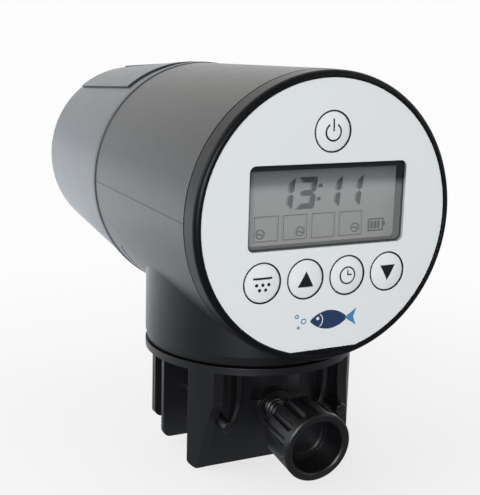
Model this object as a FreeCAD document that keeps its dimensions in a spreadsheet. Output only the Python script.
import FreeCAD, Part
import os
import re
from math import atan, cos, pi, radians, sin, sqrt, tan

import Sketcher
from FreeCAD import Placement, Rotation, Vector

# Automatic fish feeder for the rim of a tank. Millimetres, +Z up.
# Origin: the middle of the rim slot, at the underside of the clamp disc, on which the rim's top
# edge bears. +Y runs from the keypad face towards the food drum, which hangs over the water.
# "Depth" below means the distance behind the white face along the barrel's axis.

os.makedirs("parts", exist_ok=True)
doc = FreeCAD.newDocument("FishFeeder")
sheet = doc.addObject("Spreadsheet::Sheet", "Sizes")

SIZES = {
    # construction
    "past": 1.0,              # how far a cutting tool runs past the face that it cuts
    "far": 100.0,             # further than any piece reaches
    "wedge_in_r": 15.0,       # radii between which a wedge tool spans any wall of barrel or drum
    "wedge_out_r": 45.0,
    # where the main axes are
    "face_y": -44.7,          # the white face
    "barrel_z": 42.0,         # the barrel's axis above the rim seat
    "neck_y": -5.1,           # the swivel's axis
    # barrel
    "barrel_r": 35.0,
    "barrel_rear_r": 33.2,
    "seam_depth": 5.75,       # where the shells start
    "barrel_end": 71.6,
    "shell_wall": 2.0,
    "end_wall": 2.0,
    "end_hole_r": 8.4,
    "vent_front": 63.8,
    "vent_back": 64.8,
    "vent_left": 220.0,       # angles of the two slots' middles above +X
    "vent_right": 320.0,
    "vent_half_angle": 8.0,
    # bezel, overlay and display opening
    "bezel_end": 5.25,
    "bezel_lip": 0.45,        # how far the lip stands proud of the white face
    "lip_r": 33.35,
    "bezel_round": 1.4,
    "lip_round": 0.2,
    "segment_low": 0.2,       # how far the bezel's keying segment stays below the overlay's flat
    "overlay_r": 33.15,
    "overlay_thick": 0.8,
    "overlay_flat": 31.9,     # from the axis to the flat at the bottom
    "panel_back": 2.4,
    "skirt_r": 32.85,
    "skirt_wall": 1.5,
    "skirt_end": 10.0,
    "window_half": 21.4,
    "window_top": 13.4,
    "window_low": -6.6,
    "window_corner": 1.6,
    "panel_step": 0.5,        # the panel's opening is this much smaller all round
    # keys
    "key_r": 4.6,
    "key_hole_r": 4.85,
    "key_pitch": 11.56,
    "key_row_z": -14.0,
    "power_z": 20.8,
    "key_flange_r": 5.35,
    "key_flange_front": 2.5,
    "key_flange_back": 3.3,
    "key_stem_r": 1.9,
    "key_stem_end": 4.5,
    "key_crown": 0.35,        # how far the key's crown stands proud of the face
    "crown_r": 21.0,
    # display stack and control board
    "glass_front": 3.4,
    "glass_back": 5.4,
    "frame_back": 6.0,
    "frame_half": 23.4,
    "frame_low": -8.2,
    "frame_high": 15.0,
    "view_half": 20.9,        # the part of the display panel that its frame leaves open
    "view_low": -6.1,
    "view_high": 11.8,
    "glass_half": 22.2,
    "glass_low": -7.4,
    "glass_high": 13.8,
    "glass_clear": 0.1,
    "strip_half": 20.0,
    "strip_low": -7.2,
    "strip_high": -4.6,
    "board_front": 9.0,
    "board_thick": 1.6,
    "board_r": 30.9,
    "post_x": 18.5,
    "post_z": 22.5,
    "post_r": 2.6,
    "board_screw_r": 1.0,
    "board_screw_grip": 4.0,
    "board_head_r": 2.0,
    "board_head_tall": 1.3,
    "switch_half": 3.0,
    "switch_tall": 3.5,
    "plunger_r": 1.7,
    "plunger_tall": 4.0,
    "chip_left": -16.0,
    "chip_low": 4.0,
    "chip_side": 9.0,
    "chip_tall": 1.5,
    # batteries
    "cell_r": 7.25,
    "cell_long": 50.5,
    "cell_orbit": 23.7,       # from the barrel's axis to each cell's axis
    "cell_mid": 36.0,         # angle of the pair, degrees above +X
    "cell_spread": 19.0,      # each cell's angle from the middle of the pair
    "cell_front": 15.2,
    "nub_r": 2.7,
    "nub_long": 1.0,
    "contact_r": 5.2,
    "tab_r": 0.6,
    "tab_hole_r": 0.7,
    "link_half": 3.5,
    "link_thick": 0.4,
    "link_over_angle": 8.0,
    "leaf_half": 3.6,
    "leaf_edge": 0.4,
    "leaf_thick": 0.3,
    "leaf_wide": 4.0,
    "tray_front": 12.6,
    "tray_back": 69.2,
    "tray_wall": 1.1,
    "tray_in_r": 15.0,
    "tray_out_r": 30.9,
    "tray_half_angle": 40.5,
    "tray_side_angle": 2.6,
    "cover_half_angle": 33.0,
    "cover_front": 13.0,
    "cover_back": 66.0,
    "cover_gap": 0.3,
    "grip_first": 52.0,
    "grip_pitch": 2.2,
    "grip_wide": 1.0,
    "grip_half_angle": 9.0,
    "grip_root": 1.2,         # how deep a grip rib starts inside the cover
    "grip_high": 0.75,
    # gear train
    "gear_module": 0.5,
    "gear_pressure": 20.0,    # pressure angle
    "tooth_head": 0.85,       # in modules, above the pitch circle
    "tooth_foot": 1.15,       # in modules, below it
    "tooth_share": 0.86,      # a tooth's width over half the pitch, which leaves some backlash
    "wheel_teeth": 40,
    "pinion_teeth": 10,
    "gear_first_front": 52.4,
    "gear_second_front": 55.2,
    "gear_third_front": 58.2,
    "gear_width": 2.0,
    "output_width": 2.4,
    "plate_front_face": 50.0,
    "plate_rear_face": 62.4,
    "plate_thick": 1.6,
    "plate_r": 28.0,
    "plate_notch": 0.4,       # room round the battery tray
    "plate_notch_angle": 2.5,
    "bush_clear": 0.03,
    "post_out_r": 2.0,
    "box_screw_r": 0.85,
    "box_head_r": 1.8,
    "box_head_tall": 1.2,
    "motor_r": 10.0,
    "motor_front": 28.0,
    "motor_round": 1.2,
    "nose_r": 2.95,
    "nose_hole_r": 3.0,
    "nose_root": 1.0,
    "lead_r": 0.6,
    "lead_x": 3.0,
    "axle_r": 0.95,
    "axle_bore_r": 1.0,
    "pinion_shaft_r": 1.0,
    "pinion_shaft_long": 6.4,
    "pinion_over": 0.2,       # how far the pinion overlaps the first wheel's width at each end
    # output spindle
    "spindle_r": 5.0,
    "spindle_flat": 3.9,      # half the width across the two flats
    "spindle_clear": 0.06,
    "spindle_flats_from": 73.2,
    "spindle_end": 86.0,
    "stub_r": 1.5,
    "stub_hole_r": 1.55,
    "spindle_play": 0.4,
    "bush_r": 8.0,
    # drum
    "drum_front": 72.3,
    "drum_lip_end": 74.6,
    "lid_lip_r": 33.4,
    "lid_break": 0.3,
    "drum_r": 33.2,
    "drum_rear_r": 28.1,
    "drum_end": 135.5,
    "drum_wall": 1.6,
    "drum_round": 4.0,
    "drum_groove": 0.9,
    "dish_r": 19.0,
    "dish_deep": 0.7,
    "drum_end_wall": 2.0,
    "plug_r": 31.0,
    "plug_end": 78.0,
    "plug_wall": 1.3,
    "lid_thick": 1.6,
    "mouth_clear": 0.3,
    "hub_r": 8.0,
    "hub_end": 89.0,
    "door_front": 80.3,
    "door_back": 130.6,
    "door_gap": 0.12,
    "door_thick": 0.5,
    "door_rib_front": 95.5,
    "door_rib_high": 0.45,
    "door_rib_angle": 95.0,
    "door_rib_half": 1.1,     # half its width, in degrees
    "foot_clear": 0.4,
    "foot_wall": 1.2,
    "foot_toe": 1.0,
    "foot_thick": 1.0,
    "foot_first": 104.0,
    "foot_last": 117.0,
    "door_half_angle": 38.5,
    "hatch_front": 86.0,
    "hatch_back": 124.0,
    "hatch_half_angle": 30.0,
    # neck and swivel
    "neck_r": 28.4,
    "neck_wall": 2.0,
    "neck_low": 2.4,
    "neck_floor": 2.4,
    "neck_top": 29.4,
    "neck_chamfer": 0.6,
    "neck_chamfer_high": 2.4,
    "hub_hole_r": 9.0,
    "hub_clear": 0.08,
    "hub_top": 5.1,
    "disc_r": 28.4,
    "disc_top": 1.9,
    "thrust_in_r": 15.0,
    "thrust_out_r": 24.0,
    "thrust_top": 2.34,
    "swivel_bore_r": 1.6,
    "washer_r": 13.0,
    "washer_thick": 1.5,
    "swivel_bite": 1.0,       # where the swivel screw's shank starts above the seat
    "swivel_head_r": 3.2,
    "swivel_head_tall": 2.0,
    "cross_half": 1.8,
    "cross_thin": 0.4,
    "cross_deep": 1.0,
    # clamp bracket
    "leg_back": -19.5,
    "leg_plate": 2.3,
    "leg_front": -25.3,
    "leg_low": -26.7,
    "leg_break": -8.0,        # height at which the wings start to slant back
    "leg_low_front": -21.9,
    "wing_in_r": 26.4,
    "rib_x": 12.8,
    "rib_thick": 1.2,
    "rib_low": -15.7,
    "rib_stand": 0.5,         # how far the ribs stand in front of the wings
    "rib_break": -5.0,
    "rib_mid_z": -11.2,
    "rib_mid_back": 1.3,
    "slant_wide": 80.0,
    "jaw_face": 2.6,
    "jaw_thick": 2.5,
    "jaw_r": 26.4,
    "jaw_low": -21.2,
    "gusset_x": 14.0,
    "gusset_thick": 1.6,
    "gusset_reach": 9.0,
    "gusset_lip": -1.0,
    "gusset_mid_reach": 2.4,
    "gusset_mid_z": -6.5,
    "gusset_low": -15.0,
    "root": 0.5,              # how far a rib or wall is sunk into what carries it
    "corner_r": 2.2,
    "pipe_r": 14.0,
    "pipe_half": 7.3,         # half the recess's width at the plate's face
    "pipe_wall": 1.6,
    "pipe_low": -12.0,
    "pipe_sill": 1.5,
    # clamp screw, in a frame tilted about X
    "screw_tilt": 6.0,
    "screw_low_z": -15.84,    # height of the knob's front rim centre
    "screw_r": 3.0,
    "screw_hole_r": 3.06,
    "screw_boss_r": 5.3,
    "screw_boss_tall": 0.9,
    "screw_sink_r": 4.2,
    "screw_sink_deep": 0.2,
    "screw_root": 1.4,        # how deep the shank starts behind the floor of the knob's hollow
    "shoulder_clear": 0.2,
    "groove_front": 0.8,
    "groove_back": 0.2,
    "groove_deep": 0.4,
    "clip_r": 3.4,
    "clip_front": 0.75,
    "clip_back": 0.25,
    "clip_mouth": 1.2,
    "knob_r": 9.2,
    "knob_mouth_r": 7.05,
    "knob_long": 12.0,
    "knob_break": 0.4,        # the front rim's small chamfers
    "knob_back_break": 0.6,
    "knob_taper": 0.35,
    "knob_floor": 7.4,        # depth of the knob's hollow
    "knob_hub_r": 5.0,
    "knob_hub_end": 14.0,
    "flute_deep": 0.9,
    "knob_flutes": 14,
    "flute_r": 1.25,
    "flute_start": 2.9,
    "ring_in": 2.0,           # the ring round the hollow's floor, from its wall
    "ring_out": 0.45,
    "ring_high": 0.35,
    "ring_slope": 0.3,
    "journal_r": 2.0,
    "journal_bore_r": 2.06,
    # pressure plate
    "plate_y": -3.6,          # its front face
    "plate_slab": 1.3,
    "tooth_high": 0.5,
    "tooth_pitch": 1.0,
    "press_half": 24.5,
    "press_top": -0.9,
    "press_low": -24.9,
    "boss_r": 6.0,
    "boss_long": 3.4,
    "clip_room_r": 3.7,
    "tooth_margin": 1.4,
    "plate_s": 41.33,         # along the screw from the knob's rim to the plate's front face
    "pin_x": 17.0,
    "pin_r": 1.5,
    "pin_hole_r": 1.57,
    "pin_long": 25.8,
    "pin_sunk": 1.0,          # how deep the pins stand in the plate
    "pin_round": 0.5,
}

for row, (alias, number) in enumerate(SIZES.items(), start=1):
    sheet.set("A%d" % row, alias)
    sheet.set("B%d" % row, str(number))
    sheet.setAlias("B%d" % row, alias)
doc.recompute()


def expr(text):
    """Turn plain aliases into references to the sheet."""
    return re.sub(r"[a-z]\w*", lambda word: ("Sizes." if word[0] in SIZES else "") + word[0], text)


def value(text):
    """Work out an expression's number from the sheet's cells."""
    return float(sheet.evalExpression(expr(str(text))))


def bind(obj, prop, text):
    """Bind one property to an expression of the sheet's cells."""
    obj.setExpression(prop, expr(str(text)))


# ---------------------------------------------------------------- building blocks

XY, XZ = "XY_Plane", "XZ_Plane"
BARREL = ("0", "face_y", "barrel_z")
SWIVEL = ("0", "neck_y", "0")
WORLD = ("0", "0", "0")


def put(obj, place, turn=None):
    """Place an object at an expression triple, with an optional turn about X in degrees."""
    if turn is not None:
        obj.Placement = Placement(Vector(), Rotation(Vector(1, 0, 0), value(turn)))
    for axis, text in zip("xyz", place):
        bind(obj, "Placement.Base." + axis, text)
    return obj


def new_body(name, place=WORLD, turn=None):
    return put(doc.addObject("PartDesign::Body", name), place, turn)


def new_sketch(body, name, plane):
    """A sketch on one of the body's own origin planes."""
    sketch = body.newObject("Sketcher::SketchObject", name)
    support = [item for item in body.Origin.OriginFeatures if item.Role == plane][0]
    sketch.AttachmentSupport = [(support, "")]
    sketch.MapMode = "FlatFace"
    return sketch


def outline(sketch, points):
    """Close a polygon of expression pairs, each corner held by two dimensions."""
    first = sketch.GeometryCount
    spots = [Vector(value(x), value(y), 0) for x, y in points]
    count = len(spots)
    for i in range(count):
        sketch.addGeometry(Part.LineSegment(spots[i], spots[(i + 1) % count]), False)
    for i in range(count):
        last = first + (i + 1) % count
        sketch.addConstraint(Sketcher.Constraint("Coincident", first + i, 2, last, 1))
    for i, (x, y) in enumerate(points):
        for kind, text, number in (("DistanceX", x, spots[i].x), ("DistanceY", y, spots[i].y)):
            index = sketch.addConstraint(Sketcher.Constraint(kind, -1, 1, first + i, 1, number))
            sketch.setExpression("Constraints[%d]" % index, expr(str(text)))


def turned(name, points, place=BARREL, plane=XY, turn=None):
    """A revolved body: points are (radius, distance along the axis)."""
    body = new_body(name, place, turn)
    sketch = new_sketch(body, name + "_profile", plane)
    outline(sketch, points)
    doc.recompute()
    spin = body.newObject("PartDesign::Revolution", name + "_turn")
    spin.Profile = sketch
    spin.ReferenceAxis = (sketch, ["V_Axis"])
    spin.Angle = 360
    doc.recompute()
    return body


def rod(name, radius, length, place, along="Y", turn=None):
    """A cylinder along X, Y or Z, starting at place."""
    obj = doc.addObject("Part::Cylinder", name)
    bind(obj, "Radius", radius)
    bind(obj, "Height", length)
    spin = {"X": Rotation(Vector(0, 1, 0), 90), "Y": Rotation(Vector(1, 0, 0), -90),
            "Z": Rotation()}[along]
    if turn is not None:
        spin = Rotation(Vector(1, 0, 0), value(turn)).multiply(spin)
    obj.Placement = Placement(Vector(), spin)
    for axis, text in zip("xyz", place):
        bind(obj, "Placement.Base." + axis, text)
    return obj


def block(name, low, high):
    """A box between two expression triples."""
    obj = doc.addObject("Part::Box", name)
    for axis, side, lowest, highest in zip("xyz", ("Length", "Width", "Height"), low, high):
        bind(obj, side, "(%s) - (%s)" % (highest, lowest))
        bind(obj, "Placement.Base." + axis, lowest)
    return obj


def join(name, pieces):
    obj = doc.addObject("Part::MultiFuse", name)
    obj.Shapes = pieces
    obj.Refine = True
    return obj


def minus(name, base, tool):
    obj = doc.addObject("Part::Cut", name)
    obj.Base = base
    obj.Tool = tool
    obj.Refine = True
    return obj


def both(name, first, second):
    obj = doc.addObject("Part::Common", name)
    obj.Base = first
    obj.Tool = second
    obj.Refine = True
    return obj


def fixed(name, shape, place=None):
    """A Part::Feature for a form that neither sketches nor primitives make."""
    obj = doc.addObject("Part::Feature", name)
    obj.Shape = shape
    if place is not None:
        obj.Placement = place
    return obj


TINY = 0.01     # lengths closer than this are taken as equal
nodes = []


def node(obj, label):
    """Name a finished piece: its label is its file's name."""
    obj.Label = label
    nodes.append(obj)
    return obj


def rounded_block(name, low, high, radius):
    """A box whose four edges along Y are rounded."""
    box = block(name + "_box", low, high)
    doc.recompute()
    along = [i for i, edge in enumerate(box.Shape.Edges, start=1)
             if abs(edge.tangentAt(edge.FirstParameter).y) > 0.99]
    obj = doc.addObject("Part::Fillet", name)
    obj.Base = box
    obj.Edges = [(i, value(radius), value(radius)) for i in along]
    return obj


def sector(name, inner, outer, front, back, first, last):
    """Part of a ring about the barrel's axis, between two angles above +X and two depths."""
    solids = []
    for part, radius in (("outer", outer), ("inner", inner)):
        obj = doc.addObject("Part::Cylinder", name + "_" + part)
        bind(obj, "Radius", radius)
        bind(obj, "Height", "(%s) - (%s)" % (back, front))
        bind(obj, "Angle", "(%s) - (%s)" % (last, first) if part == "outer" else "360")
        spin = Rotation(Vector(1, 0, 0), -90).multiply(Rotation(Vector(0, 0, 1), -value(last)))
        obj.Placement = Placement(Vector(), spin)
        bind(obj, "Placement.Base.y", "face_y + (%s)" % front)
        bind(obj, "Placement.Base.z", "barrel_z")
        solids.append(obj)
    return minus(name, *solids)


def barrel_rod(name, radius, front, back, x="0", z="0"):
    """A cylinder along the barrel at an offset from its axis, between two depths."""
    place = (x, "face_y + (%s)" % front, "barrel_z + (%s)" % z)
    return rod(name, radius, "(%s) - (%s)" % (back, front), place)


def barrel_block(name, low, high):
    """A box in the barrel's frame: (x, depth, z above the axis)."""
    spots = [(x, "face_y + (%s)" % y, "barrel_z + (%s)" % z) for x, y, z in (low, high)]
    return block(name, *spots)


def clamp_rod(name, radius, front, back, x="0"):
    """A cylinder in the clamp screw's tilted frame, between two distances along it."""
    tilt = "screw_tilt * 1 deg"
    place = (x, "face_y + (%s) * cos(%s)" % (front, tilt),
             "screw_low_z + (%s) * sin(%s)" % (front, tilt))
    return rod(name, radius, "(%s) - (%s)" % (back, front), place, turn="screw_tilt")


# ---------------------------------------------------------------- bezel, overlay and display

KEYS = {
    "key_power": ("0", "power_z"),
    "key_manual": ("-1.5 * key_pitch", "key_row_z"),
    "key_up": ("-0.5 * key_pitch", "key_row_z"),
    "key_set": ("0.5 * key_pitch", "key_row_z"),
    "key_down": ("1.5 * key_pitch", "key_row_z"),
}
CORNERS = [(x, z) for x in ("-post_x", "post_x") for z in ("-post_z", "post_z")]


def window_block(name, front, back, inset):
    """The display opening, made smaller all round by inset."""
    low = ("-window_half + " + inset, "face_y + (%s)" % front, "barrel_z + window_low + " + inset)
    high = ("window_half - " + inset, "face_y + (%s)" % back, "barrel_z + window_top - " + inset)
    return rounded_block(name, low, high, "window_corner - (%s)" % inset)


def key_holes(name, radius):
    return [barrel_rod(name + "_" + key, radius, "-past", "panel_back + past", x, z)
            for key, (x, z) in KEYS.items()]


def soften(body, name, rim, depth, radius):
    """Round a turned body's edge, found by its radius and depth."""
    last = body.Tip
    edges = []
    for i, edge in enumerate(last.Shape.Edges, start=1):
        curve = edge.Curve
        if isinstance(curve, Part.Circle) and abs(curve.Radius - value(rim)) < TINY:
            if abs(curve.Center.y - value(depth)) < TINY:
                edges.append("Edge%d" % i)
    fillet = body.newObject("PartDesign::Fillet", name)
    fillet.Base = (last, edges)
    bind(fillet, "Radius", radius)
    doc.recompute()


def make_bezel():
    ring = turned("bezel_ring", [
        ("skirt_r", "skirt_end"), ("skirt_r", "bezel_end"), ("barrel_r", "bezel_end"),
        ("barrel_r", "-bezel_lip"), ("lip_r", "-bezel_lip"), ("lip_r", "overlay_thick"),
        ("0", "overlay_thick"), ("0", "panel_back"), ("skirt_r - skirt_wall", "panel_back"),
        ("skirt_r - skirt_wall", "skirt_end")])
    soften(ring, "bezel_outer_round", "barrel_r", "-bezel_lip", "bezel_round")
    soften(ring, "bezel_inner_round", "lip_r", "-bezel_lip", "lip_round")
    # the flat that keys the overlay
    disc = barrel_rod("bezel_segment_disc", "lip_r + root / 5", "lip_round - bezel_lip", "panel_back")
    segment = both("bezel_segment", disc,
                   barrel_block("bezel_segment_cut", ("-barrel_r", "-past", "-barrel_r"),
                                ("barrel_r", "skirt_end", "-overlay_flat - segment_low")))
    posts = [barrel_rod("bezel_post%d" % i, "post_r", "panel_back - root", "board_front", x, z)
             for i, (x, z) in enumerate(CORNERS)]
    whole = join("bezel_whole", [ring, segment] + posts)
    holes = [barrel_rod("bezel_hole%d" % i, "board_screw_r",
                        "board_front - board_screw_grip - glass_clear", "board_front", x, z)
             for i, (x, z) in enumerate(CORNERS)]
    holes += key_holes("bezel", "key_hole_r + 0.15")
    holes.append(window_block("bezel_window", "-past", "panel_back + past", "panel_step"))
    node(minus("bezel_done", whole, join("bezel_holes", holes)), "front_bezel")


def make_overlay():
    disc = barrel_rod("overlay_disc", "overlay_r", "0", "overlay_thick")
    tools = key_holes("overlay", "key_hole_r")
    tools.append(window_block("overlay_window", "-past", "panel_back", "0"))
    tools.append(barrel_block("overlay_flat_cut", ("-barrel_r", "-past", "-barrel_r"),
                              ("barrel_r", "panel_back", "-overlay_flat")))
    node(minus("overlay_done", disc, join("overlay_tools", tools)), "face_overlay")
    node(window_block("window_pane", "0.05", "overlay_thick", "0.06"), "display_window")


def make_display():
    body = barrel_block("frame_body", ("-frame_half", "panel_back", "frame_low"),
                        ("frame_half", "frame_back", "frame_high"))
    lip = barrel_block("frame_lip", ("-view_half", "panel_back - past", "view_low"),
                       ("view_half", "glass_front + past", "view_high"))
    seat = barrel_block("frame_seat", ("-glass_half - glass_clear", "glass_front", "glass_low - glass_clear"),
                        ("glass_half + glass_clear", "frame_back + past", "glass_high + glass_clear"))
    node(minus("frame_done", body, join("frame_cuts", [lip, seat])), "lcd_frame")
    node(barrel_block("glass_done", ("-glass_half", "glass_front", "glass_low"),
                      ("glass_half", "glass_back", "glass_high")), "lcd_panel")
    node(barrel_block("strip_done", ("-strip_half", "glass_back", "strip_low"),
                      ("strip_half", "board_front", "strip_high")), "zebra_strip")


def make_keys():
    for key, (x, z) in KEYS.items():
        cap = barrel_rod(key + "_cap", "key_r", "-past", "key_flange_back", x, z)
        ball = doc.addObject("Part::Sphere", key + "_ball")
        bind(ball, "Radius", "crown_r")
        for axis, text in zip("xyz", (x, "face_y - key_crown + crown_r", "barrel_z + (%s)" % z)):
            bind(ball, "Placement.Base." + axis, text)
        flange = barrel_rod(key + "_flange", "key_flange_r", "key_flange_front", "key_flange_back", x, z)
        stem = barrel_rod(key + "_stem", "key_stem_r", "key_flange_front", "key_stem_end", x, z)
        node(join(key + "_done", [both(key + "_crown", cap, ball), flange, stem]), key)


def make_board():
    disc = barrel_rod("board_disc", "board_r", "board_front", "board_front + board_thick")
    holes = [barrel_rod("board_hole%d" % i, "board_screw_r", "0", "far", x, z)
             for i, (x, z) in enumerate(CORNERS)]
    node(minus("board_done", disc, join("board_holes", holes)), "control_board")
    switches = []
    for key, (x, z) in KEYS.items():
        low = ("(%s) - switch_half" % x, "board_front - switch_tall", "(%s) - switch_half" % z)
        high = ("(%s) + switch_half" % x, "board_front", "(%s) + switch_half" % z)
        case = barrel_block(key + "_switch_case", low, high)
        plunger = barrel_rod(key + "_plunger", "plunger_r", "board_front - plunger_tall", "board_front", x, z)
        switches += [case, plunger]
    node(join("switches_done", switches), "tact_switches")
    back = "board_front + board_thick"
    node(barrel_block("chip_done", ("chip_left", back, "chip_low"),
                      ("chip_left + chip_side", back + " + chip_tall", "chip_low + chip_side")),
         "controller_chip")
    screws = []
    for i, (x, z) in enumerate(CORNERS):
        screws.append(barrel_rod("board_shank%d" % i, "board_screw_r", "board_front - board_screw_grip",
                                 back, x, z))
        screws.append(barrel_rod("board_head%d" % i, "board_head_r", back, back + " + board_head_tall", x, z))
    node(join("board_screws_done", screws), "board_screws")


# ---------------------------------------------------------------- shells

GRIPS = 5


def make_shells():
    tube = turned("shell_tube", [
        ("barrel_r", "seam_depth"), ("barrel_rear_r", "barrel_end"), ("end_hole_r", "barrel_end"),
        ("end_hole_r", "barrel_end - end_wall"),
        ("barrel_rear_r - shell_wall", "barrel_end - end_wall"), ("barrel_r - shell_wall", "seam_depth")])
    inside = turned("shell_inside", [
        ("0", "seam_depth - past"), ("barrel_r - shell_wall", "seam_depth - past"),
        ("barrel_r - shell_wall", "seam_depth"),
        ("barrel_rear_r - shell_wall", "barrel_end - end_wall"), ("0", "barrel_end - end_wall")])
    above = barrel_block("above_seam", ("-far", "0", "0"), ("far", "far", "far"))
    below = barrel_block("below_seam", ("-far", "0", "-far"), ("far", "far", "0"))
    opening = sector("cover_opening", "wedge_in_r", "wedge_out_r", "cover_front", "cover_back",
                     "cell_mid - cover_half_angle", "cell_mid + cover_half_angle")
    node(minus("upper_done", both("upper_half", tube, above), opening), "upper_shell")

    neck = turned("neck_tube", [
        ("hub_hole_r", "neck_low"), ("neck_r - neck_chamfer", "neck_low"),
        ("neck_r", "neck_low + neck_chamfer_high"), ("neck_r", "neck_top"),
        ("neck_r - neck_wall", "neck_top"), ("neck_r - neck_wall", "neck_low + neck_floor"),
        ("hub_hole_r", "neck_low + neck_floor")], SWIVEL, XZ)
    bore = rod("neck_bore", "neck_r - neck_wall", "neck_top - neck_low - neck_floor + root",
               ("0", "neck_y", "neck_low + neck_floor"), "Z")
    solid = join("lower_solid", [both("lower_half", tube, below), neck])
    vents = [sector("vent_slot_" + middle, "wedge_in_r", "wedge_out_r", "vent_front", "vent_back",
                    middle + " - vent_half_angle", middle + " + vent_half_angle")
             for middle in ("vent_left", "vent_right")]
    node(minus("lower_done", solid, join("lower_cuts", [bore, inside] + vents)), "lower_shell")

    angle_gap = "cover_gap / barrel_r * 180 / pi"
    wedge = sector("cover_wedge", "wedge_in_r", "wedge_out_r",
                   "cover_front + cover_gap", "cover_back - cover_gap",
                   "cell_mid - cover_half_angle + " + angle_gap,
                   "cell_mid + cover_half_angle - " + angle_gap)
    grips = []
    for i in range(GRIPS):
        front = "grip_first + %d * grip_pitch" % i
        grips.append(sector("cover_grip%d" % i, "barrel_rear_r - grip_root", "barrel_rear_r + grip_high",
                            front, front + " + grip_wide",
                            "cell_mid - grip_half_angle", "cell_mid + grip_half_angle"))
    node(join("cover_done", [both("cover_panel", tube, wedge)] + grips), "battery_cover")


# ---------------------------------------------------------------- batteries

CELLS = {"low": "cell_mid - cell_spread", "high": "cell_mid + cell_spread"}


def cell_spot(name):
    angle = "(%s) * 1 deg" % CELLS[name]
    return "cell_orbit * cos(%s)" % angle, "cell_orbit * sin(%s)" % angle


def make_batteries():
    tray = sector("tray_block", "tray_in_r", "tray_out_r", "tray_front", "tray_back",
                  "cell_mid - tray_half_angle", "cell_mid + tray_half_angle")
    hollow = sector("tray_hollow", "tray_in_r + tray_wall", "wedge_out_r", "tray_front + tray_wall",
                    "tray_back - tray_wall", "cell_mid - tray_half_angle + tray_side_angle",
                    "cell_mid + tray_half_angle - tray_side_angle")
    tabs, cells, plates, springs = [], [], [], []
    for name in CELLS:
        x, z = cell_spot(name)
        back = "cell_front + cell_long"
        tabs.append(barrel_rod("tab_hole_" + name, "tab_hole_r", "tray_front - past",
                               "tray_front + tray_wall + past", x, z))
        cells.append(barrel_rod("cell_can_" + name, "cell_r", "cell_front", back, x, z))
        cells.append(barrel_rod("cell_nub_" + name, "nub_r", "cell_front - nub_long", "cell_front", x, z))
        plates.append(barrel_rod("front_contact_" + name, "contact_r", "tray_front + tray_wall",
                                 "cell_front - nub_long", x, z))
        plates.append(barrel_rod("contact_tab_" + name, "tab_r", "board_front + board_thick",
                                 "cell_front - nub_long", x, z))
        springs.append(make_leaf(name))
    node(minus("tray_done", tray, join("tray_cuts", [hollow] + tabs)), "battery_tray")
    node(join("cells_done", cells), "batteries")
    link = sector("rear_link", "cell_orbit - link_half", "cell_orbit + link_half",
                  "tray_back - tray_wall - link_thick", "tray_back - tray_wall",
                  CELLS["low"] + " - link_over_angle", CELLS["high"] + " + link_over_angle")
    node(join("contacts_done", plates + [link]), "battery_contacts")
    node(join("springs_done", springs), "contact_springs")


def make_leaf(name):
    """A bowed leaf spring between a cell's rear end and the rear contact link."""
    x, z = (value(text) for text in cell_spot(name))
    z += value("barrel_z")
    cell_end = value("face_y + cell_front + cell_long")
    link = value("face_y + tray_back - tray_wall - link_thick")
    outer = value("leaf_half")
    inner = value("leaf_half - leaf_edge")
    crest = cell_end + value("leaf_thick")
    return prism("leaf_" + name, [
        ((link, z - outer), (cell_end, z), (link, z + outer)), ((link, z + outer), (link, z + inner)),
        ((link, z + inner), (crest, z), (link, z - inner)), ((link, z - inner), (link, z - outer))],
        x, value("leaf_wide"))


# ---------------------------------------------------------------- gear train

MESH = value("gear_module * (wheel_teeth + pinion_teeth) / 2")
SECOND_ANGLE, FIRST_ANGLE, MOTOR_ANGLE = 200.0, 300.0, 10.0
FLANK_STEPS = 4


def step(spot, angle):
    """The centre one mesh distance away from spot."""
    return spot[0] + MESH * cos(radians(angle)), spot[1] + MESH * sin(radians(angle))


SECOND = step((0.0, 0.0), SECOND_ANGLE)
FIRST = step(SECOND, FIRST_ANGLE)
MOTOR = step(FIRST, MOTOR_ANGLE)


def gear(teeth, front, back, spot, turn_deg, bore=0.0):
    """A spur gear with involute flanks, thinned a little for backlash."""
    module = value("gear_module")
    pitch_r = module * teeth / 2
    slope = radians(value("gear_pressure"))
    base_r = pitch_r * cos(slope)
    tip_r = pitch_r + value("tooth_head") * module
    root_r = pitch_r - value("tooth_foot") * module
    half_tooth = pi / teeth / 2 * value("tooth_share")
    pressure = tan(slope) - slope

    def flank_angle(radius):
        lean = sqrt(max((radius / base_r) ** 2 - 1, 0))
        return half_tooth + pressure - (lean - atan(lean))

    start_r = max(base_r, root_r)
    radii = [start_r + (tip_r - start_r) * i / FLANK_STEPS for i in range(FLANK_STEPS + 1)]
    points = []
    for tooth in range(teeth):
        middle = 2 * pi * tooth / teeth
        root = flank_angle(start_r)
        left = [(middle - flank_angle(r), r) for r in radii]
        right = [(middle + flank_angle(r), r) for r in reversed(radii)]
        points += [(middle - root, root_r)] * (root_r < start_r) + left + right
        points += [(middle + root, root_r)] * (root_r < start_r)
    spots = [Vector(r * cos(a), r * sin(a), 0) for a, r in points]
    spots.append(spots[0])
    wheel = Part.Face(Part.makePolygon(spots)).extrude(Vector(0, 0, value(back) - value(front)))
    if bore:
        far = value("far")
        wheel = wheel.cut(Part.makeCylinder(bore, 2 * far, Vector(0, 0, -far)))
    turn = Rotation(Vector(1, 0, 0), -90).multiply(Rotation(Vector(0, 0, 1), -turn_deg))
    place = Vector(spot[0], value("face_y") + value(front), value("barrel_z") + spot[1])
    wheel.Placement = Placement(place, turn)
    return wheel


def mesh_turn(teeth, own_turn, other_teeth, angle):
    """The turn that puts a gear in mesh with one at the given bearing (from it to the new one)."""
    # a tooth of the first lies at the contact when its phase is zero there
    phase = ((angle - own_turn) * other_teeth / 360.0) % 1.0
    return angle + 180.0 + (phase + 0.5) * 360.0 / teeth


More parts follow.
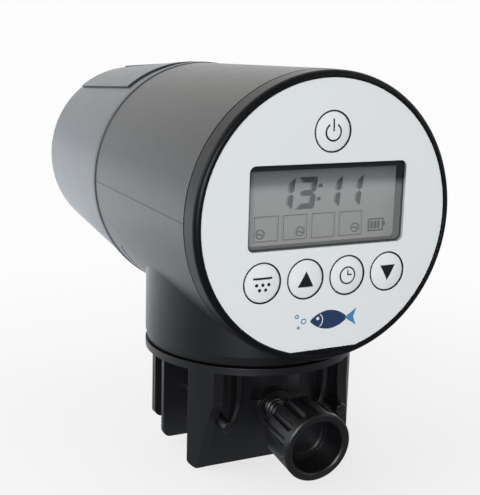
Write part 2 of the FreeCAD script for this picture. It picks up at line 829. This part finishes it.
def make_gears():
    wheel, pinion = int(value("wheel_teeth")), int(value("pinion_teeth"))
    bore = value("axle_bore_r")
    out_turn = 0.0
    second_turn = mesh_turn(pinion, out_turn, wheel, SECOND_ANGLE)
    first_turn = mesh_turn(pinion, second_turn, wheel, FIRST_ANGLE)
    motor_turn = mesh_turn(pinion, first_turn, wheel, MOTOR_ANGLE)
    for label, spot, turn, front, small_end in (
            ("second_gear", SECOND, second_turn, "gear_second_front", "gear_third_front + output_width"),
            ("first_gear", FIRST, first_turn, "gear_first_front", "gear_second_front + gear_width")):
        big = gear(wheel, front, front + " + gear_width", spot, turn, bore)
        small = gear(pinion, front + " + gear_width", small_end, spot, turn, bore)
        node(fixed(label + "_done", big.fuse(small).removeSplitter()), label)
    toothed = gear(pinion, "gear_first_front - pinion_over", "gear_first_front + gear_width + pinion_over",
                   MOTOR, motor_turn)
    foot = Vector(MOTOR[0], value("face_y + gear_first_front - pinion_shaft_long"),
                  value("barrel_z") + MOTOR[1])
    shaft = Part.makeCylinder(value("pinion_shaft_r"), value("pinion_shaft_long"), foot, Vector(0, 1, 0))
    node(fixed("motor_pinion_done", toothed.fuse(shaft)), "motor_pinion")

    output = fixed("output_gear", gear(wheel, "gear_third_front", "gear_third_front + output_width",
                                       (0.0, 0.0), out_turn))
    stub = barrel_rod("spindle_stub", "stub_r", "plate_front_face + mouth_clear", "gear_third_front")
    shaft = barrel_rod("spindle_shaft", "spindle_r", "gear_third_front + root", "spindle_flats_from")
    flats = both("spindle_flats",
                 barrel_rod("spindle_head", "spindle_r", "spindle_flats_from - root", "spindle_end"),
                 barrel_block("spindle_slab", ("-far", "0", "-spindle_flat"), ("far", "far", "spindle_flat")))
    node(join("spindle_done", [output, stub, shaft, flats]), "output_spindle")
    bush = barrel_rod("bush_body", "bush_r", "gear_third_front + output_width + spindle_play", "barrel_end")
    bush_bore = barrel_rod("bush_bore", "spindle_r + spindle_clear", "0", "far")
    node(minus("bush_done", bush, bush_bore), "output_bush")


POSTS = [("-22", "12"), ("-2", "23"), ("18", "-18.5")]


def make_gearbox():
    spots = {"first": FIRST, "second": SECOND}
    for label, front in (("gear_plate_front", "plate_front_face"), ("gear_plate_rear", "plate_rear_face")):
        back = front + " + plate_thick"
        disc = barrel_rod(label + "_disc", "plate_r", front, back)
        start, end = front + " - past", back + " + past"
        cuts = [sector(label + "_notch", "tray_in_r - plate_notch", "wedge_out_r", start, end,
                       "cell_mid - tray_half_angle - plate_notch_angle",
                       "cell_mid + tray_half_angle + plate_notch_angle")]
        for name, (x, z) in spots.items():
            cuts.append(barrel_rod(label + "_" + name, "axle_r", start, end, "%.4f" % x, "%.4f" % z))
        for i, (x, z) in enumerate(POSTS):
            cuts.append(barrel_rod(label + "_screw%d" % i, "box_screw_r", start, end, x, z))
        centre = "stub_hole_r" if label.endswith("front") else "bush_r + bush_clear"
        cuts.append(barrel_rod(label + "_centre", centre, start, end))
        if label.endswith("front"):
            cuts.append(barrel_rod(label + "_motor", "nose_hole_r", start, end,
                                   "%.4f" % MOTOR[0], "%.4f" % MOTOR[1]))
        node(minus(label + "_done", disc, join(label + "_cuts", cuts)), label)
    axles = [barrel_rod("axle_" + name, "axle_r", "plate_front_face", "plate_rear_face + plate_thick",
                        "%.4f" % x, "%.4f" % z) for name, (x, z) in spots.items()]
    node(join("axles_done", axles), "gear_axles")
    posts, screws = [], []
    for i, (x, z) in enumerate(POSTS):
        for part, front, back in (("a", "plate_front_face + plate_thick", "plate_rear_face"),
                                  ("b", "plate_rear_face + plate_thick", "barrel_end - end_wall")):
            outer = barrel_rod("post%d%s" % (i, part), "post_out_r", front, back, x, z)
            hole = barrel_rod("post%d%s_hole" % (i, part), "box_screw_r", front + " - past", back + " + past",
                              x, z)
            posts.append(minus("post%d%s_tube" % (i, part), outer, hole))
        screws.append(barrel_rod("box_shank%d" % i, "box_screw_r", "plate_front_face",
                                 "barrel_end - end_wall", x, z))
        screws.append(barrel_rod("box_head%d" % i, "box_head_r", "plate_front_face - box_head_tall",
                                 "plate_front_face", x, z))
    node(join("posts_done", posts), "gearbox_posts")
    node(join("box_screws_done", screws), "gearbox_screws")


def make_motor():
    x, z = "%.4f" % MOTOR[0], "%.4f" % MOTOR[1]
    can = barrel_rod("motor_can", "motor_r", "motor_front", "plate_front_face", x, z)
    nose = barrel_rod("motor_nose", "nose_r", "plate_front_face - nose_root",
                      "plate_front_face + plate_thick", x, z)
    bore = barrel_rod("motor_bore", "pinion_shaft_r + spindle_clear",
                      "gear_first_front - pinion_shaft_long - past", "far", x, z)
    can_round = doc.addObject("Part::Fillet", "motor_can_round")
    can_round.Base = can
    doc.recompute()
    rim = [i for i, edge in enumerate(can.Shape.Edges, start=1)
           if edge.BoundBox.YLength < TINY and edge.CenterOfMass.y < value("face_y + motor_front + past")]
    can_round.Edges = [(i, value("motor_round"), value("motor_round")) for i in rim]
    node(minus("motor_done", join("motor_solid", [can_round, nose]), bore), "motor")
    leads = [barrel_rod("lead_" + name, "lead_r", "board_front + board_thick", "motor_front",
                        "%.4f %s lead_x" % (MOTOR[0], sign), z) for name, sign in (("a", "-"), ("b", "+"))]
    node(join("leads_done", leads), "motor_leads")


# ---------------------------------------------------------------- food drum

def drum_radius(depth, extra="0"):
    """The drum's outer radius at a depth, as an expression."""
    return ("drum_r - (drum_r - drum_rear_r) * ((%s) - drum_front) / (drum_end - drum_front) + (%s)"
            % (depth, extra))


def make_drum():
    lid = turned("lid_solid", [
        ("0", "drum_front"), ("lid_lip_r - lid_break", "drum_front"), ("lid_lip_r", "drum_front + lid_break"),
        ("lid_lip_r", "drum_lip_end - lid_break"), ("lid_lip_r - lid_break", "drum_lip_end"),
        ("plug_r", "drum_lip_end"), ("plug_r", "plug_end"), ("plug_r - plug_wall", "plug_end"),
        ("plug_r - plug_wall", "drum_front + lid_thick"), ("hub_r", "drum_front + lid_thick"),
        ("hub_r", "hub_end"), ("0", "hub_end")])
    socket = both("lid_socket",
                  barrel_rod("lid_socket_rod", "spindle_r + spindle_clear", "0", "spindle_end + root"),
                  barrel_block("lid_socket_slab", ("-far", "0", "-spindle_flat - spindle_clear"),
                               ("far", "far", "spindle_flat + spindle_clear")))
    clear = barrel_rod("lid_mouth", "spindle_r + mouth_clear", "drum_front - past",
                       "spindle_flats_from + mouth_clear")
    node(minus("lid_done", lid, join("lid_cuts", [socket, clear])), "drum_lid")

    front = "drum_lip_end + drum_groove"
    cup = turned("drum_cup", [
        (drum_radius(front), front), ("drum_rear_r", "drum_end"), ("0", "drum_end"),
        ("0", "drum_end - drum_end_wall"), ("drum_rear_r - drum_wall", "drum_end - drum_end_wall"),
        (drum_radius(front, "-drum_wall"), front)])
    soften(cup, "drum_rear_round", "drum_rear_r", "drum_end", "drum_round")
    hatch = sector("hatch", "wedge_in_r", "wedge_out_r", "hatch_front", "hatch_back",
                   "90 - hatch_half_angle", "90 + hatch_half_angle")
    dish = turned("drum_dish", [
        ("0", "drum_end - dish_deep"), ("dish_r", "drum_end - dish_deep"),
        ("dish_r + dish_deep", "drum_end + past"), ("0", "drum_end + past")])
    node(minus("drum_done", cup, join("drum_cuts", [hatch, dish])), "drum_body")


def make_door():
    ring = turned("door_ring", [
        (drum_radius("door_front", "door_gap"), "door_front"),
        (drum_radius("door_back", "door_gap"), "door_back"),
        (drum_radius("door_back", "door_gap + door_thick"), "door_back"),
        (drum_radius("door_front", "door_gap + door_thick"), "door_front")])
    wedge = sector("door_wedge", "wedge_in_r", "wedge_out_r", "door_front - past", "door_back + past",
                   "90 - door_half_angle", "90 + door_half_angle")
    rib_back = "door_back - past"
    rib_foot, rib_top = "door_gap + door_thick / 2", "door_gap + door_thick + door_rib_high"
    rib_ring = turned("door_rib_ring", [
        (drum_radius("door_rib_front", rib_foot), "door_rib_front"),
        (drum_radius(rib_back, rib_foot), rib_back),
        (drum_radius(rib_back, rib_top), rib_back),
        (drum_radius("door_rib_front", "door_gap + door_thick"), "door_rib_front")])
    rib_wedge = sector("door_rib_wedge", "wedge_in_r", "wedge_out_r", "door_front", "door_back",
                       "door_rib_angle - door_rib_half", "door_rib_angle + door_rib_half")
    # a hook on each end edge of the hatch holds the door on the drum
    feet = []
    for name, edge, way in (("front", "hatch_front", "1"), ("back", "hatch_back", "-1")):
        top = drum_radius(edge, "door_gap + door_thick / 2")
        under = drum_radius(edge, "-drum_wall - foot_clear")
        low = drum_radius(edge, "-drum_wall - foot_clear - foot_thick")
        near = edge + " + foot_clear * " + way
        far = edge + " + (foot_clear + foot_wall) * " + way
        toe = edge + " - foot_toe * " + way
        hook = turned("door_hook_" + name, [
            (top, near), (top, far), (low, far), (low, toe), (under, toe), (under, near)])
        feet.append(both("door_foot_" + name, hook,
                         sector("door_foot_wedge_" + name, "wedge_in_r", "wedge_out_r", "door_front",
                                "door_back", "foot_first", "foot_last")))
    node(join("door_done", [both("door_panel", ring, wedge), both("door_rib", rib_ring, rib_wedge)] + feet),
         "food_door")


# ---------------------------------------------------------------- clamp

def clamp_slab(name, front, back, low):
    """A plate across the clamp, with its lower corners rounded."""
    return rounded_block(name, ("-press_half", front, low), ("press_half", back, "2 * corner_r"), "corner_r")


def prism(name, points, middle_x, width):
    """A flat shape of (y, z) points extruded along X; a middle point of three makes an arc."""
    edges = []
    for start, *mid, end in points:
        start, end = Vector(0, *start), Vector(0, *end)
        if mid:
            edges.append(Part.Arc(start, Vector(0, *mid[0]), end).toShape())
        else:
            edges.append(Part.LineSegment(start, end).toShape())
    solid = Part.Face(Part.Wire(edges)).extrude(Vector(width, 0, 0))
    return fixed(name, solid, Placement(Vector(middle_x - width / 2, 0, 0), Rotation()))


def closed(points):
    """The straight edges of a polygon."""
    return list(zip(points, points[1:] + points[:1]))


PINS = {"left": "-pin_x", "right": "pin_x"}


def make_bracket():
    hub_r = "hub_hole_r - hub_clear"
    disc = turned("disc_solid", [
        ("0", "0"), ("disc_r", "0"), ("disc_r", "disc_top"),
        ("thrust_out_r", "disc_top"), ("thrust_out_r", "thrust_top"), ("thrust_in_r", "thrust_top"),
        ("thrust_in_r", "disc_top"), (hub_r, "disc_top"), (hub_r, "hub_top"), ("0", "hub_top")],
        SWIVEL, XZ)

    # front leg: a plate between curved wings, whose front edges slant back below the break
    round_leg = rod("leg_round", "disc_r", "root - leg_low", ("0", "neck_y", "leg_low"), "Z")
    leg = both("leg_slab", round_leg, clamp_slab("leg_block", "leg_front", "leg_back", "leg_low"))
    round_pocket = rod("leg_pocket_round", "wing_in_r", "past - leg_low", ("0", "neck_y", "leg_low - past"),
                       "Z")
    pocket = both("leg_pocket", round_pocket,
                  block("leg_pocket_front", ("-far", "-far", "leg_low - past"),
                        ("far", "leg_back - leg_plate", "0")))
    root, past = value("root"), value("past")
    front_y, break_z = value("leg_front"), value("leg_break")
    low_y, low_z = value("leg_low_front"), value("leg_low")
    outside_y, under_z = value("leg_front - far"), value("leg_low - past")
    slant = prism("leg_slant", closed([
        (outside_y, break_z), (front_y, break_z), (low_y, low_z), (low_y, under_z),
        (outside_y, under_z)]), 0, value("slant_wide"))
    plate_face = value("leg_back - leg_plate")
    rib_front, rib_low = value("leg_front - rib_stand"), value("rib_low")
    rib_bend = (rib_front + value("rib_mid_back"), value("rib_mid_z"))
    ribs = []
    for name, side in (("left", -1), ("right", 1)):
        edges = closed([(plate_face, rib_low), (plate_face + root, rib_low), (plate_face + root, root),
                        (rib_front, root), (rib_front, value("rib_break"))])
        edges[-1] = ((rib_front, value("rib_break")), rib_bend, (plate_face, rib_low))
        ribs.append(prism("leg_rib_" + name, edges, side * value("rib_x"), value("rib_thick")))

    # shallow half-pipe in the middle of the leg, and its wall behind
    pipe_y = "leg_back - leg_plate - sqrt(pipe_r ^ 2 - pipe_half ^ 2)"
    high = "root - pipe_low"
    wall = both("pipe_wall_part",
                rod("pipe_wall_rod", "pipe_r + pipe_wall", high, ("0", pipe_y, "pipe_low"), "Z"),
                block("pipe_wall_behind", ("-pipe_r", "leg_back - root", "pipe_low"),
                      ("pipe_r", "0", "root")))
    groove = both("pipe_groove",
                  rod("pipe_groove_rod", "pipe_r", "-pipe_low - pipe_sill",
                      ("0", pipe_y, "pipe_low + pipe_sill"), "Z"),
                  block("pipe_groove_front", ("-pipe_r", "leg_front + rib_stand", "pipe_low"),
                        ("pipe_r", "0", "0")))

    # rear jaw with gussets
    jaw = both("jaw_slab", rod("jaw_round", "jaw_r", "root - jaw_low", ("0", "neck_y", "jaw_low"), "Z"),
               clamp_slab("jaw_block", "jaw_face", "jaw_face + jaw_thick", "jaw_low"))
    back = value("jaw_face + jaw_thick")
    toe, toe_z = back + value("gusset_reach"), value("gusset_lip")
    heel_z = value("gusset_low")
    bend = (back + value("gusset_mid_reach"), value("gusset_mid_z"))
    gussets = []
    for name, side in (("left", -1), ("middle", 0), ("right", 1)):
        edges = closed([(back, heel_z), (back - root, heel_z), (back - root, root), (toe, root),
                        (toe, toe_z)])
        edges[-1] = ((toe, toe_z), bend, (back, heel_z))
        gussets.append(prism("jaw_gusset_" + name, edges, side * value("gusset_x"), value("gusset_thick")))

    leg_s = "(leg_back - leg_plate - face_y) / cos(screw_tilt * 1 deg)"
    boss = clamp_rod("screw_boss", "screw_boss_r", leg_s + " - screw_boss_tall", leg_s + " + leg_plate")
    frame = minus("leg_shaped", leg, join("leg_cuts", [pocket, slant]))
    solid = join("bracket_solid", [disc, frame, wall, jaw] + ribs + gussets)
    grooved = join("bracket_bossed", [minus("bracket_grooved", solid, groove), boss])
    start, end = leg_s + " - leg_plate", leg_s + " + 2 * leg_plate"
    holes = [rod("swivel_bore", "swivel_bore_r", "far", ("0", "neck_y", "swivel_bite"), "Z"),
             clamp_rod("screw_hole", "screw_hole_r", start, end),
             clamp_rod("screw_sink", "screw_sink_r", start, leg_s + " + screw_sink_deep")]
    wing_front = leg_s + " - 2 * leg_plate"
    holes += [clamp_rod("pin_hole_" + name, "pin_hole_r", wing_front, end, x) for name, x in PINS.items()]
    node(minus("bracket_done", grooved, join("bracket_holes", holes)), "clamp_bracket")


def make_swivel_fastening():
    ring = rod("washer_disc", "washer_r", "washer_thick", ("0", "neck_y", "hub_top"), "Z")
    hole = rod("washer_hole", "swivel_bore_r", "far", ("0", "neck_y", "0"), "Z")
    node(minus("washer_done", ring, hole), "swivel_washer")
    shank = rod("swivel_shank", "swivel_bore_r", "hub_top + washer_thick - swivel_bite",
                ("0", "neck_y", "swivel_bite"), "Z")
    head_z = "hub_top + washer_thick"
    head = rod("swivel_head", "swivel_head_r", "swivel_head_tall", ("0", "neck_y", head_z), "Z")
    low, high = head_z + " + swivel_head_tall - cross_deep", head_z + " + swivel_head_tall + past"
    cross = [block("swivel_cross_" + name, ("-" + x, "neck_y - " + y, low), (x, "neck_y + " + y, high))
             for name, x, y in (("a", "cross_half", "cross_thin"), ("b", "cross_thin", "cross_half"))]
    solid = join("swivel_screw_solid", [shank, head])
    node(minus("swivel_screw_done", solid, join("swivel_cross", cross)), "swivel_screw")


def make_pressure_plate():
    low, top = value("press_low"), value("press_top")
    face, base = value("plate_y"), value("plate_y + plate_slab")
    pitch, deep = value("tooth_pitch"), value("tooth_high")
    profile = [(face, top), (face, low), (base, low)]
    first = low + value("tooth_margin")
    ridges = int((top - first - pitch) / pitch)
    for i in range(ridges):
        foot = first + i * pitch
        profile += [(base, foot), (base + deep, foot + pitch / 2)]
    profile += [(base, first + ridges * pitch), (base, top)]
    toothed = prism("press_toothed", closed(profile), 0, 2 * value("press_half"))
    outline_block = rounded_block("press_outline", ("-press_half", "plate_y - past", "press_low"),
                                  ("press_half", "0", "press_top"), "corner_r")
    plate = both("press_plate", toothed, outline_block)
    boss = clamp_rod("press_boss", "boss_r", "plate_s - boss_long", "plate_s + root")
    solid = join("press_solid", [plate, boss])
    cuts = [clamp_rod("press_bore", "journal_bore_r", "plate_s - boss_long - past", "plate_s + boss_long"),
            clamp_rod("press_clip_room", "clip_room_r", "plate_s - 2 * root", "plate_s + boss_long")]
    cuts += [clamp_rod("press_pin_seat_" + name, "pin_r", "plate_s - boss_long", "plate_s + pin_sunk", x)
             for name, x in PINS.items()]
    node(minus("press_done", solid, join("press_cuts", cuts)), "pressure_plate")
    pins = []
    for name, x in PINS.items():
        shank = clamp_rod("pin_" + name, "pin_r", "plate_s + pin_sunk - pin_long", "plate_s + pin_sunk", x)
        doc.recompute()
        tip = [k for k, edge in enumerate(shank.Shape.Edges, start=1)
               if edge.Closed and edge.CenterOfMass.y < value("face_y + plate_s - pin_long / 2")]
        soft = doc.addObject("Part::Fillet", "pin_round_" + name)
        soft.Base = shank
        soft.Edges = [(k, value("pin_round"), value("pin_round")) for k in tip]
        pins.append(soft)
    node(join("pins_done", pins), "guide_pins")


def make_screw():
    shoulder = "plate_s - boss_long - shoulder_clear"
    shank = clamp_rod("screw_shank", "screw_r", "knob_floor + screw_root", shoulder)
    journal = clamp_rod("screw_journal", "journal_r", shoulder, "plate_s + root")
    front, back = "plate_s - past", "plate_s + past"
    ring = clamp_rod("screw_groove_out", "screw_r", "plate_s - groove_front", "plate_s - groove_back")
    groove = minus("screw_groove", ring,
                   clamp_rod("screw_groove_in", "journal_r - groove_deep", front, back))
    node(minus("screw_done", join("screw_solid", [shank, journal]), groove), "clamp_screw")
    clip = minus("clip_ring", clamp_rod("clip_out", "clip_r", "plate_s - clip_front", "plate_s - clip_back"),
                 clamp_rod("clip_in", "journal_r - groove_deep", front, back))
    screw_z = "screw_low_z + plate_s * sin(screw_tilt * 1 deg)"
    mouth = block("clip_mouth", ("-clip_mouth", "plate_y - boss_long", "press_low"),
                  ("clip_mouth", "plate_y + boss_long", screw_z))
    node(minus("clip_done", clip, mouth), "screw_clip")


def make_knob():
    body = turned("knob_body", [
        ("0", "knob_floor"), ("knob_mouth_r - ring_in", "knob_floor"),
        ("knob_mouth_r - ring_in + ring_slope", "knob_floor - ring_high"),
        ("knob_mouth_r - ring_out", "knob_floor - ring_high"),
        ("knob_mouth_r", "knob_break"), ("knob_mouth_r + knob_break", "0"), ("knob_r - knob_break", "0"),
        ("knob_r", "knob_break"), ("knob_r - knob_taper", "knob_long - knob_back_break"),
        ("knob_r - knob_taper - knob_back_break", "knob_long"),
        ("knob_hub_r", "knob_long"), ("knob_hub_r", "knob_hub_end"), ("0", "knob_hub_end")],
        ("0", "face_y", "screw_low_z"), XY, "screw_tilt")
    # flutes: equal scoops round the skirt that run out just behind the front rim
    count = int(value("knob_flutes"))
    knob_r, deep = value("knob_r"), value("flute_deep")
    scoop_r, start, end = value("flute_r"), value("flute_start"), value("knob_long + past")
    reach = knob_r + scoop_r - deep
    scoops = []
    for i in range(count):
        angle = 2 * pi * i / count
        spot = Vector(reach * sin(angle), start, reach * cos(angle))
        tool = Part.makeCylinder(scoop_r, end - start, spot, Vector(0, 1, 0))
        scoops.append(tool.fuse(Part.makeSphere(scoop_r, spot)))
    tools = scoops[0].multiFuse(scoops[1:])
    tools = fixed("knob_scoops", tools, Placement(Vector(0, value("face_y"), value("screw_low_z")),
                                                  Rotation(Vector(1, 0, 0), value("screw_tilt"))))
    bore = clamp_rod("knob_bore", "screw_r", "knob_floor + screw_root", "knob_hub_end + past")
    node(minus("knob_done", body, join("knob_cuts", [tools, bore])), "clamp_knob")


# ---------------------------------------------------------------- build, check, write

for make in (make_bezel, make_overlay, make_display, make_keys, make_board, make_shells,
             make_batteries, make_gears, make_gearbox, make_motor, make_drum, make_door,
             make_bracket, make_swivel_fastening, make_pressure_plate, make_screw, make_knob):
    make()
    doc.recompute()

bad = [obj.Name for obj in doc.Objects if "Invalid" in obj.State or "Error" in obj.State]
if bad:
    raise RuntimeError("failed: " + ", ".join(bad))
for obj in nodes:
    if obj.Shape.isNull() or not obj.Shape.isValid() or not obj.Shape.Solids:
        raise RuntimeError(obj.Label + " has no valid solid")

for obj in nodes:
    obj.Shape.exportStep("parts/%s.step" % obj.Label)
    print("%-18s solids %d  volume %9.1f mm3" % (obj.Label, len(obj.Shape.Solids), obj.Shape.Volume))
print(len(nodes), "nodes")
